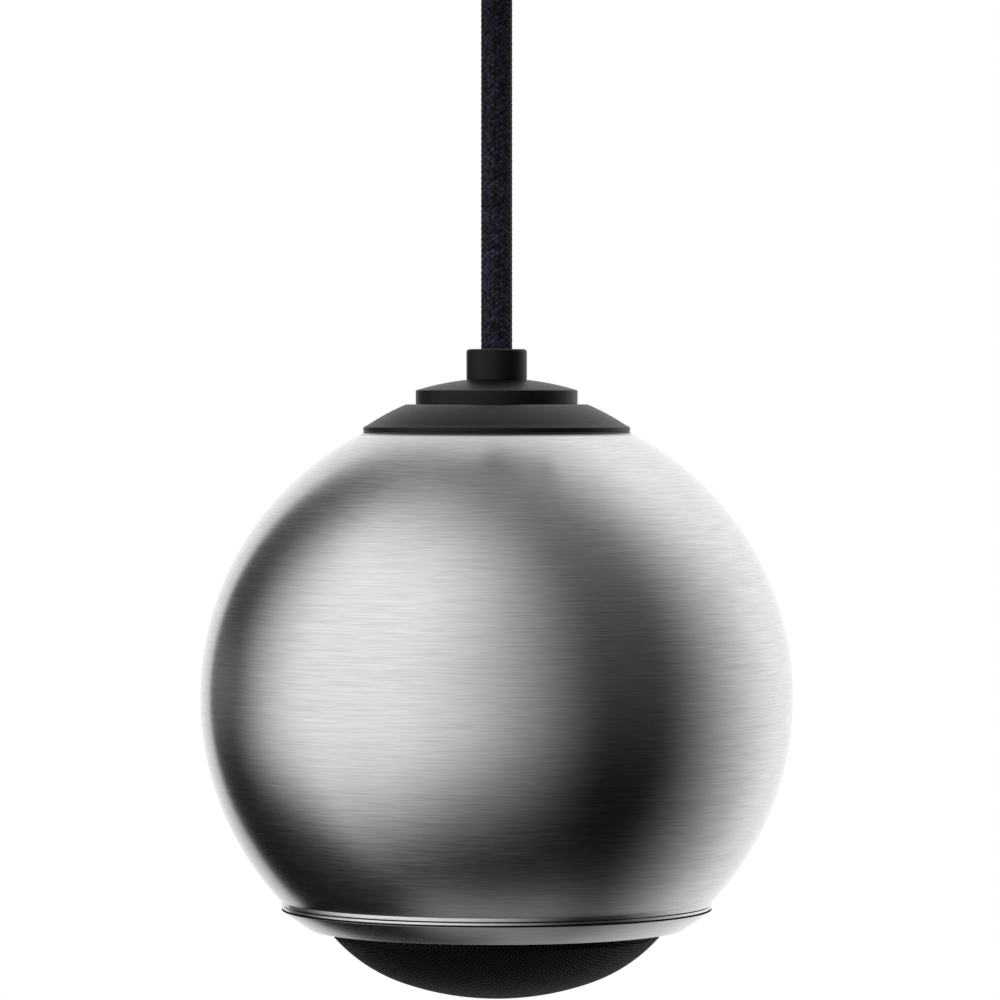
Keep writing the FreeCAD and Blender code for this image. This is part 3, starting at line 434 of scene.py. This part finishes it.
def make_ball():
    """The shell: an outer sphere from the stem's hole to the edge's upright band, and an inner sphere."""
    inner = BALL_RADIUS - SHELL_WALL
    top = math.degrees(math.acos(STEM_HOLE / BALL_RADIUS))
    low = -math.degrees(math.acos(EDGE_BAND / BALL_RADIUS))
    inner_low = -math.degrees(math.asin(EDGE_DEPTH / inner))
    inner_top = math.degrees(math.acos(STEM_HOLE / inner))
    edge = rounded([
        (EDGE_BAND, -EDGE_DEPTH + 0.6 * MM), (EDGE_BAND, -EDGE_DEPTH),
        (MOUTH_RADIUS - 1.5 * MM, -EDGE_DEPTH),
    ], np.array([0, 0.1, 0]) * MM)[:-1]
    outline = np.vstack([
        arc((0, 0), BALL_RADIUS, top, low, 130), edge[1:], arc((0, 0), inner, inner_low, inner_top, 60),
    ])
    ball = turned("ball", outline[::-1], STEEL, "ball_shell", segments=STEEL_SEGMENTS)


def make_bezel():
    """Bead, groove, tapered ring, flat lip and the spigot behind them. The groove's walls take the black
    rubber finish as painted shade.
    """
    bead_low = BEZEL_TOP - BEAD_HEIGHT
    groove_low = bead_low - GROOVE_HEIGHT
    well = SPIGOT_RADIUS - 1.3 * MM
    lip_top = BEZEL_BASE + LIP_HEIGHT
    corners = [
        (LIP_BORE, BEZEL_BASE), (BEZEL_FOOT, BEZEL_BASE),
        (BEZEL_RADIUS, groove_low),
        (GROOVE_RADIUS, groove_low), (GROOVE_RADIUS, bead_low),
        (BEAD_RADIUS, bead_low), (BEAD_RADIUS, BEZEL_TOP), (SPIGOT_RADIUS, BEZEL_TOP),
        (SPIGOT_RADIUS, SPIGOT_TOP), (well, SPIGOT_TOP), (well, lip_top), (LIP_BORE, lip_top),
    ]
    radii = np.array([0.15, 0.22, 0.02, 0, 0, 0.1, 0.1, 0, 0.2, 0.2, 0, 0.1]) * MM
    outline = rounded(corners, radii)
    bezel = turned("bezel", outline, STEEL, "bezel_ring", segments=STEEL_SEGMENTS)
    # painted shade: the groove's walls get the black rubber finish to stand for the shade inside the groove
    bezel.data.materials.append(RUBBER)
    r, z = outline[:, 0], outline[:, 1]
    r2, z2 = np.roll(r, -1), np.roll(z, -1)
    groove_shade_faces = (np.minimum(z, z2) > groove_low - 1e-6) & (np.maximum(z, z2) < bead_low + 1e-6)
    groove_shade_faces &= (np.maximum(r, r2) < BEZEL_RADIUS) & (r > well + 3 * MM)
    slots = np.tile(groove_shade_faces.astype(np.int32), STEEL_SEGMENTS)
    bezel.data.polygons.foreach_set("material_index", slots)


def make_neck():
    """Flange, cap and collar, turned pieces with broken edges."""
    foot = math.sqrt(BALL_RADIUS**2 - FLANGE_RADIUS**2)
    seat_low = math.degrees(math.asin(foot / BALL_RADIUS))
    seat_top = math.degrees(math.acos(FLANGE_BORE / BALL_RADIUS))
    cone = chord_arc(
        (FLANGE_RADIUS - 0.2 * MM, foot + FLANGE_RIM), (LEDGE_RADIUS, LEDGE_HEIGHT), 40 * MM, 12)
    rim = rounded([
        (FLANGE_RADIUS - 1 * MM, foot + 0.3 * MM), (FLANGE_RADIUS, foot), (FLANGE_RADIUS, foot + 0.24 * MM),
        (FLANGE_RADIUS - 0.22 * MM, foot + 0.3 * MM), (FLANGE_RADIUS, foot + 0.38 * MM),
        (FLANGE_RADIUS, foot + FLANGE_RIM), (FLANGE_RADIUS - 1 * MM, foot + FLANGE_RIM + 0.5 * MM),
    ], np.array([0, 0.06, 0.04, 0.03, 0.04, 0.22, 0]) * MM)[1:-1]
    outline = np.vstack([
        arc((0, 0), BALL_RADIUS + 0.01 * MM, seat_top, seat_low, 16)[:-1], rim, cone[1:],
        [(FLANGE_BORE, LEDGE_HEIGHT)],
    ])
    flange = turned("flange", outline, BLACK_COAT, "top_flange", segments=256, smooth_angle=30)

    skin = CAP_TOP - 1.3 * MM
    band_top = LEDGE_HEIGHT + CAP_BAND
    dome = chord_arc((CAP_RADIUS - 0.12 * MM, band_top + 0.1 * MM), (CAP_LAND, CAP_TOP), CAP_CURVE, 16)
    outline = np.vstack([
        [(STEM_HOLE, skin), (FLANGE_BORE - 1.2 * MM, skin - 1.2 * MM), (FLANGE_BORE, LEDGE_HEIGHT + 1 * MM),
         (FLANGE_BORE, LEDGE_HEIGHT), (CAP_RADIUS - 0.08 * MM, LEDGE_HEIGHT),
         (CAP_RADIUS, LEDGE_HEIGHT + 0.08 * MM),
         (CAP_RADIUS, band_top - 0.05 * MM), (CAP_RADIUS - 0.05 * MM, band_top + 0.06 * MM)],
        dome, [(STEM_HOLE, CAP_TOP)],
    ])
    cap = turned("cap", outline, BLACK_COAT, "upper_cap", segments=224, smooth_angle=30)

    corners = [
        (4 * MM, CAP_TOP), (COLLAR_RADIUS, CAP_TOP), (COLLAR_RADIUS, COLLAR_TOP), (CORD_BORE, COLLAR_TOP),
        (CORD_BORE, COLLAR_TOP - 1.3 * MM), (4 * MM, COLLAR_TOP - 1.3 * MM),
    ]
    radii = np.array([0, 0.12, 0.55, 0.25, 0, 0]) * MM
    collar = turned("collar", rounded(corners, radii, 6), BLACK_COAT, "cord_collar", segments=128)


def dome_edge():
    """The dome's last angle, and its length from the pole to there."""
    shoulder_centre = (CROWN_CURVE - SHOULDER_CURVE) * math.sin(CROWN_ANGLE)
    angle = math.asin((GRILLE_RADIUS - shoulder_centre) / SHOULDER_CURVE)
    return angle, CROWN_CURVE * CROWN_ANGLE + SHOULDER_CURVE * (angle - CROWN_ANGLE)


def dome_at(distance):
    """(r, z) of the grille at a distance along its surface from the pole.

    It is a crown's arc, a shoulder's arc tangent to it, then straight up."""
    crown = CROWN_CURVE * CROWN_ANGLE
    edge_angle, reach = dome_edge()
    shift = CROWN_CURVE - SHOULDER_CURVE
    top = GRILLE_POLE + CROWN_CURVE
    on_crown = distance < crown
    angle = np.where(on_crown, distance / CROWN_CURVE, CROWN_ANGLE + (distance - crown) / SHOULDER_CURVE)
    angle = np.minimum(angle, edge_angle)
    curve = np.where(on_crown, CROWN_CURVE, SHOULDER_CURVE)
    r = np.where(on_crown, 0, shift * math.sin(CROWN_ANGLE)) + curve * np.sin(angle)
    z = top - np.where(on_crown, 0, shift * math.cos(CROWN_ANGLE)) - curve * np.cos(angle)
    past = np.maximum(distance - reach, 0)
    return np.where(past > 0, GRILLE_RADIUS, r), z + past


def make_grille():
    """A perforated sheet, and a plain flange behind the bezel that closes it.

    A honeycomb of cells is laid flat, each with a hole of six sides. It is then curved onto the dome and its
    skirt, so that the distance from the pole is kept."""
    reach = dome_edge()[1]
    edge_height = float(dome_at(np.array([reach]))[1][0])
    lip_top = BEZEL_BASE + LIP_HEIGHT
    sheet_end = reach + lip_top - edge_height
    rings = int(1.16 * sheet_end / PERFORATION_PITCH) + 2
    q, s = np.meshgrid(np.arange(-rings, rings + 1), np.arange(-rings, rings + 1), indexing="ij")
    cx = PERFORATION_PITCH * (q + s / 2).ravel()
    cy = PERFORATION_PITCH * (s * math.sqrt(3) / 2).ravel()
    inside = np.hypot(cx, cy) < sheet_end - 0.3 * PERFORATION_PITCH
    centres = np.column_stack([cx, cy])[inside]
    a = np.radians(np.arange(6) * 60 + 30)
    corners = np.column_stack([np.cos(a), np.sin(a)])
    cell = PERFORATION_PITCH / math.sqrt(3) * corners
    # a six-sided hole's corners lie a little past the round hole's edge
    hole = PERFORATION_RADIUS * 1.05 * corners
    flat = np.concatenate([centres[:, None] + cell, centres[:, None] + hole], axis=1)
    count = len(centres)
    base = (np.arange(count) * 12)[:, None, None]
    k = np.arange(6)
    quad = np.column_stack([k, 6 + k, 6 + (k + 1) % 6, (k + 1) % 6])[None]
    faces = (base + quad).reshape(-1, 4)
    flat = flat.reshape(-1, 2)
    distance = np.minimum(np.hypot(flat[:, 0], flat[:, 1]), sheet_end)
    heading = np.arctan2(flat[:, 1], flat[:, 0])
    r, z = dome_at(distance)
    points = np.column_stack([r * np.cos(heading), r * np.sin(heading), z + BALL_Z])
    sheet = new_piece("grille_sheet", points, faces, GRILLE_COAT, 50)
    weld = sheet.modifiers.new("weld", "WELD")
    weld.merge_threshold = 0.00002
    wall = sheet.modifiers.new("wall", "SOLIDIFY")
    wall.thickness = GRILLE_WALL
    wall.offset = -1
    wall.use_even_offset = False
    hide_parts("grille")
    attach(sheet, "housing")

    flange_radius = SPIGOT_RADIUS - 1.6 * MM
    inner = GRILLE_RADIUS - GRILLE_WALL
    outline = np.array([
        (inner, lip_top - 0.2 * MM), (GRILLE_RADIUS, lip_top - 0.2 * MM), (GRILLE_RADIUS, lip_top),
        (flange_radius, lip_top), (flange_radius, lip_top + 0.8 * MM), (inner, lip_top + 0.8 * MM),
    ])
    rim = turned("grille_rim", outline, GRILLE_COAT, "grille", segments=192)


def cord_line():
    """The cord's own line, read from the smooth curve through its route."""
    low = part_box("cord")[0].z
    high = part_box("cord")[1].z
    route = [(0, 0, low), (0, 0, BALL_Z + COLLAR_TOP), (0, 0, GRIP_FOOT), (0, 0, high)]
    curve = bpy.data.curves.new("cord_route", "CURVE")
    curve.dimensions = "3D"
    spline = curve.splines.new("NURBS")
    spline.points.add(len(route) - 1)
    for point, place in zip(spline.points, route):
        point.co = (*place, 1)
    spline.order_u = 3
    spline.use_endpoint_u = True
    holder = bpy.data.objects.new("cord_route", curve)
    bpy.context.scene.collection.objects.link(holder)
    bpy.context.view_layer.update()
    mesh = bpy.data.meshes.new_from_object(holder)
    line = np.zeros(len(mesh.vertices) * 3)
    mesh.vertices.foreach_get("co", line)
    bpy.data.objects.remove(holder)
    bpy.data.meshes.remove(mesh)
    return line.reshape(-1, 3)


def make_cord():
    """A braid round a core: half its strands turn left and half right, each over two and under two.

    A strand's axis stands off the cord's line by a radius that is a cosine of its crossings."""
    line = cord_line()
    low, high = line[:, 2].min(), line[:, 2].max()
    carriers = 20
    lay = 19.2 * MM
    step = 0.36 * MM
    rings = int((high - low) / step) + 1
    z = np.linspace(low, high, rings)
    half_width, half_thick = 0.315 * MM, 0.19 * MM
    swell = 0.16 * MM
    middle_radius = CORD_RADIUS - half_thick - swell
    section_angle = np.radians(np.array([0, 50, 130, 180, 230, 310]))
    sides = len(section_angle)
    all_points, all_faces, all_uv = [], [], []
    start = 0
    for hand in (1, -1):
        for strand in range(carriers):
            turn = 2 * np.pi * (z - low) / lay
            heading = hand * turn + 2 * np.pi * strand / carriers
            crossing = turn * carriers / np.pi
            wave = np.cos(np.pi / 2 * crossing + np.pi * strand - hand * np.pi / 4)
            radius = middle_radius + hand * swell * wave
            axis = np.column_stack([radius * np.cos(heading), radius * np.sin(heading), z])
            ahead = np.column_stack([-np.sin(heading) * radius * hand * 2 * np.pi / lay,
                                     np.cos(heading) * radius * hand * 2 * np.pi / lay, np.ones(rings)])
            ahead /= np.linalg.norm(ahead, axis=1)[:, None]
            out = np.column_stack([np.cos(heading), np.sin(heading), np.zeros(rings)])
            side = np.cross(ahead, out)
            wide = np.cos(section_angle)[None, :, None] * half_width * side[:, None]
            thick = np.sin(section_angle)[None, :, None] * half_thick * out[:, None]
            points = axis[:, None] + wide + thick
            all_points.append(points.reshape(-1, 3))
            i, j = np.meshgrid(np.arange(rings - 1), np.arange(sides), indexing="ij")
            i, j = i.ravel(), j.ravel()
            ring, next_ring, j2 = i * sides, (i + 1) * sides, (j + 1) % sides
            quads = np.column_stack([ring + j, next_ring + j, next_ring + j2, ring + j2])
            all_faces.append(quads + start)
            across = np.stack([j, j, j + 1, j + 1], axis=1) / sides
            along = np.stack([i, i + 1, i + 1, i], axis=1) * step / (2 * half_width) + strand * 3.7
            all_uv.append(np.stack([across, along], axis=-1))
            start += rings * sides
    k = np.arange(24)
    k2 = (k + 1) % len(k)
    core_turn = 2 * np.pi * k / len(k)
    core_radius = CORD_RADIUS - 0.5 * MM
    ends = np.array([low + 0.05 * MM, high - 0.05 * MM])
    core = np.stack([
        np.outer(core_radius * np.cos(core_turn), [1, 1]), np.outer(core_radius * np.sin(core_turn), [1, 1]),
        np.broadcast_to(ends, (len(k), 2)),
    ], axis=-1).reshape(-1, 3)
    all_points.append(core)
    all_faces.append(np.column_stack([2 * k, 2 * k2, 2 * k2 + 1, 2 * k + 1]) + start)
    all_uv.append(np.zeros((len(k), 4, 2)))
    cord = new_piece("braided_cord", np.vstack(all_points), np.vstack(all_faces), YARN, 70)
    uv = cord.data.uv_layers.new(name="yarn")
    uv.data.foreach_set("uv", np.concatenate([u.reshape(-1) for u in all_uv]).astype(np.float32))
    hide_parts("cord")
    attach(cord, "housing")
    return cord, line


def make_rose():
    """The ceiling cup and the cord grip under it."""
    bore = 5.2 * MM
    corners = [
        (bore, -ROSE_DEPTH), (ROSE_RADIUS, -ROSE_DEPTH), (ROSE_RADIUS, 0), (ROSE_RADIUS - ROSE_WALL, 0),
        (ROSE_RADIUS - ROSE_WALL, -ROSE_DEPTH + ROSE_WALL), (bore, -ROSE_DEPTH + ROSE_WALL),
    ]
    radii = np.array([0.1, 4.0, 0.25, 0.2, 2.8, 0]) * MM
    rose = turned("rose", rounded(corners, radii, 10), BLACK_COAT, "ceiling_rose", segments=192, height=0.0)
    corners = [
        (CORD_BORE, GRIP_FOOT), (4.2 * MM, GRIP_FOOT), (5.4 * MM, -33.0 * MM), (5.4 * MM, -32.0 * MM),
        (7.5 * MM, -32.0 * MM), (7.5 * MM, -30.0 * MM), (5.0 * MM, -30.0 * MM), (5.0 * MM, -24.4 * MM),
        (CORD_BORE, -24.4 * MM),
    ]
    radii = np.array([0.3, 0.3, 0.4, 0.1, 0.3, 0.3, 0, 0.3, 0.2]) * MM
    grip = turned("grip", rounded(corners, radii), BLACK_COAT, "cord_grip", segments=128, height=0.0)
    return rose, grip


def make_surround():
    """The rubber half roll at the cone's rim."""
    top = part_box("surround")[1].z - BALL_Z
    middle, roll, wall = 24.6 * MM, 2.0 * MM, 0.4 * MM
    flange_inner, flange_outer = 20.8 * MM, 28.6 * MM
    outline = np.vstack([
        [(flange_inner, top), (flange_inner, top - wall)],
        arc((middle, top), roll, 191.5, 348.5, 24),
        [(flange_outer, top - wall), (flange_outer, top)],
        arc((middle, top), roll - wall, 360, 180, 24),
    ])
    surround = turned_soft("surround_roll", outline, RUBBER, "surround", 22.6 * MM, 26.4 * MM)


def make_spider():
    """The corrugated cloth disc at the cone's neck.

    Its waves are z = middle + swing * sin(6 pi s), with s from 0 to 1 outward."""
    low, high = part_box("spider")
    wall, swing = 0.35 * MM, 0.35 * MM
    inner, first, last, outer = 8.15 * MM, 9.25 * MM, 17.2 * MM, 18.7 * MM
    s = np.linspace(0, 1, 61)
    radii = np.concatenate([[inner], first + (last - first) * s, [outer]])
    lift = np.concatenate([[0], swing * np.sin(6 * np.pi * s), [0]]) + (low.z + high.z) / 2 - BALL_Z
    outline = np.vstack([
        np.column_stack([radii, lift - wall / 2]), np.column_stack([radii, lift + wall / 2])[::-1]
    ])
    spider = turned_soft("spider_disc", outline, DIPPED_CLOTH, "spider", first, last)


def make_tinsels():
    """The two leads between the tags and the cone. A point's share is its way along, across plus up."""
    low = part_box("tinsel_leads")[0]
    solid = bmesh.new()
    solid.from_mesh(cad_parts["tinsel_leads"].data)
    bmesh.ops.remove_doubles(solid, verts=solid.verts, dist=1e-6)
    points = np.array([v.co for v in solid.verts])
    faces = np.array([[v.index for v in f.verts] for f in solid.faces])
    solid.free()
    tinsels = new_piece("tinsels", points, faces, TINNED, 50)
    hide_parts("tinsel_leads")
    flex(tinsels, (points[:, 0] - low.x + points[:, 2] - low.z - 2 * MM) / (14 * MM))


# Studio

def studio():
    """White for the camera. For reflections, two wide soft panels, a soft ceiling and a faint floor glow.

    A panel's light is smooth((1 - s)(1 - v) - d) * smooth(1 - w). Here s and d grow sideways, v grows
    downward and w upward."""
    world = bpy.data.worlds.new("studio")
    bpy.context.scene.world = world
    world.use_nodes = True
    tree = world.node_tree
    background = tree.nodes["Background"]
    direction = add(tree, "ShaderNodeTexCoord").outputs["Generated"]
    split = add(tree, "ShaderNodeSeparateXYZ")
    tree.links.new(direction, split.inputs[0])
    toward = math_node(tree, "MULTIPLY", split.outputs["Y"], -1.0)
    azimuth = math_node(tree, "ARCTAN2", split.outputs["X"], toward)
    elevation = math_node(tree, "ARCSINE", split.outputs["Z"])
    leaning = math_node(tree, "ARCSINE", split.outputs["Y"])
    sideways = math_node(tree, "ARCSINE", split.outputs["X"])

    def ramp(source, none, full, kind="LINEAR"):
        """From 0 where the angle in degrees is none, to 1 where it is full."""
        node = add(tree, "ShaderNodeMapRange", interpolation_type=kind)
        node.inputs["From Min"].default_value = math.radians(none)
        node.inputs["From Max"].default_value = math.radians(full)
        tree.links.new(source, node.inputs["Value"])
        return node.outputs["Result"]

    def smooth(source):
        """The eased step between 0 and 1."""
        node = add(tree, "ShaderNodeMapRange", interpolation_type="SMOOTHSTEP")
        tree.links.new(source, node.inputs["Value"])
        return node.outputs["Result"]

    def less(source):
        """One minus the source."""
        return math_node(tree, "SUBTRACT", 1.0, source)

    def product(*terms):
        """The terms multiplied."""
        out = terms[0]
        for term in terms[1:]:
            out = math_node(tree, "MULTIPLY", out, term)
        return out

    def total_of(*terms):
        """The terms added."""
        out = terms[0]
        for term in terms[1:]:
            out = math_node(tree, "ADD", out, term)
        return out

    def off_from(middle):
        """The azimuth less the middle, between -180 and 180 degrees."""
        off = math_node(tree, "SUBTRACT", azimuth, math.radians(middle))
        return math_node(tree, "WRAP", off, math.pi, -math.pi)

    def panel(middle, left, right, low, high, strength, left_falls=False):
        """Left, right, low and high are pairs of angles: where its light starts to fade, and where it ends.

        With left_falls, the left edge moves inward lower down."""
        off = off_from(middle)
        on_left = ramp(off, -left[0], -left[1])
        across = ramp(off, right[0], right[1])
        if not left_falls:
            across = math_node(tree, "MAXIMUM", across, on_left)
        inside = product(less(across), less(ramp(elevation, low[0], low[1])))
        if left_falls:
            inside = math_node(tree, "SUBTRACT", inside, on_left)
        return product(smooth(inside), ramp(elevation, high[1], high[0], "SMOOTHSTEP"), strength)

    front = panel(-50, (25, 80), (4, 96), (-12, -63), (40, 90), 1.0, left_falls=True)
    back = panel(165, (24, 101), (17, 95), (-4, -86), (40, 90), 0.98)
    # the back panel ends at a straight edge, softer and further back high up and low down
    high_up = ramp(elevation, 24, 56)
    low_down = ramp(elevation, -20, -60)
    widening = total_of(product(high_up, math.radians(27)), product(low_down, math.radians(10)))
    edge_width = total_of(math.radians(2.5), widening)
    past = total_of(off_from(165), product(high_up, math.radians(16)), product(low_down, math.radians(38)))
    past_edge = math_node(tree, "SUBTRACT", past, math.radians(46))
    back = product(back, less(math_node(tree, "MINIMUM", 1.0, math_node(
        tree, "MAXIMUM", 0.0, math_node(tree, "DIVIDE", past_edge, edge_width)))))
    floor_glow = product(
        ramp(elevation, -58, -80, "SMOOTHSTEP"), ramp(leaning, -17, 0, "SMOOTHSTEP"), ramp(sideways, 55, 0))
    total = total_of(
        front,
        back,
        panel(-137, (6, 14), (6, 22), (-2, -12), (2, 12), 0.12),
        product(ramp(elevation, -35, 30, "SMOOTHSTEP"), 0.062),
        product(ramp(elevation, 15, 85, "SMOOTHSTEP"), 0.145),
        product(floor_glow, 0.265),
        0.005)
    tree.links.new(total, background.inputs["Strength"])
    background.inputs["Color"].default_value = (1, 1, 1, 1)
    white = add(tree, "ShaderNodeBackground")
    white.inputs["Color"].default_value = (1, 1, 1, 1)
    ray = add(tree, "ShaderNodeLightPath").outputs["Is Camera Ray"]
    mix = add(tree, "ShaderNodeMixShader")
    tree.links.new(ray, mix.inputs["Fac"])
    tree.links.new(background.outputs[0], mix.inputs[1])
    tree.links.new(white.outputs[0], mix.inputs[2])
    tree.links.new(mix.outputs[0], tree.nodes["World Output"].inputs["Surface"])

    lamp = bpy.data.lights.new("overhead", "AREA")
    lamp.shape = "DISK"
    lamp.size = 0.8
    lamp.energy = 3.0
    overhead = bpy.data.objects.new("overhead", lamp)
    bpy.context.scene.collection.objects.link(overhead)
    overhead.location = (0.1, -0.25, 1.0)
    overhead.rotation_euler = (math.radians(-12), math.radians(5), 0)
    overhead.visible_glossy = False
    overhead.visible_camera = False


def set_camera():
    """The photograph's view, fitted to the ball's outline and seams."""
    aside, away, above, degrees_down = 0.57 * MM, 1.063, 54.8 * MM, 1.127
    lens = bpy.data.cameras.new("camera")
    lens.sensor_width = 36.0
    lens.lens = 222.96
    lens.clip_start = 0.05
    camera = bpy.data.objects.new("camera", lens)
    bpy.context.scene.collection.objects.link(camera)
    camera.location = (aside, -away, BALL_Z + above)
    camera.rotation_euler = (math.radians(90 - degrees_down), 0, 0)
    bpy.context.scene.camera = camera


def make_floor():
    """A wide pale floor well below the ball, white to the camera and unseen by the ball."""
    material, tree, shader = finish("pale_floor", Roughness=0.9)
    shader.inputs["Base Color"].default_value = (0.8, 0.8, 0.8, 1)
    glow = add(tree, "ShaderNodeEmission")
    ray = add(tree, "ShaderNodeLightPath").outputs["Is Camera Ray"]
    mix = add(tree, "ShaderNodeMixShader")
    tree.links.new(ray, mix.inputs["Fac"])
    tree.links.new(shader.outputs[0], mix.inputs[1])
    tree.links.new(glow.outputs[0], mix.inputs[2])
    tree.links.new(mix.outputs[0], tree.nodes["Material Output"].inputs["Surface"])
    size, depth = 12.0, -2.5
    corners = np.array([
        (-size, -size, depth), (size, -size, depth), (size, size, depth), (-size, size, depth)])
    floor = new_piece("floor", corners, np.array([[0, 1, 2, 3]]), material)
    floor.visible_glossy = False
    floor.visible_diffuse = False


set_camera()
cord, line = make_cord()
rose, grip = make_rose()
dress_nodes()
make_ball()
make_bezel()
make_neck()
make_grille()
make_surround()
make_spider()
make_tinsels()
make_floor()
studio()
# the photograph's ball mirrors neither its neck nor a ceiling
for name in ("flange", "cap", "braided_cord", "rose", "grip"):
    bpy.data.objects[name].visible_glossy = False

bpy.context.scene.view_settings.view_transform = "Standard"
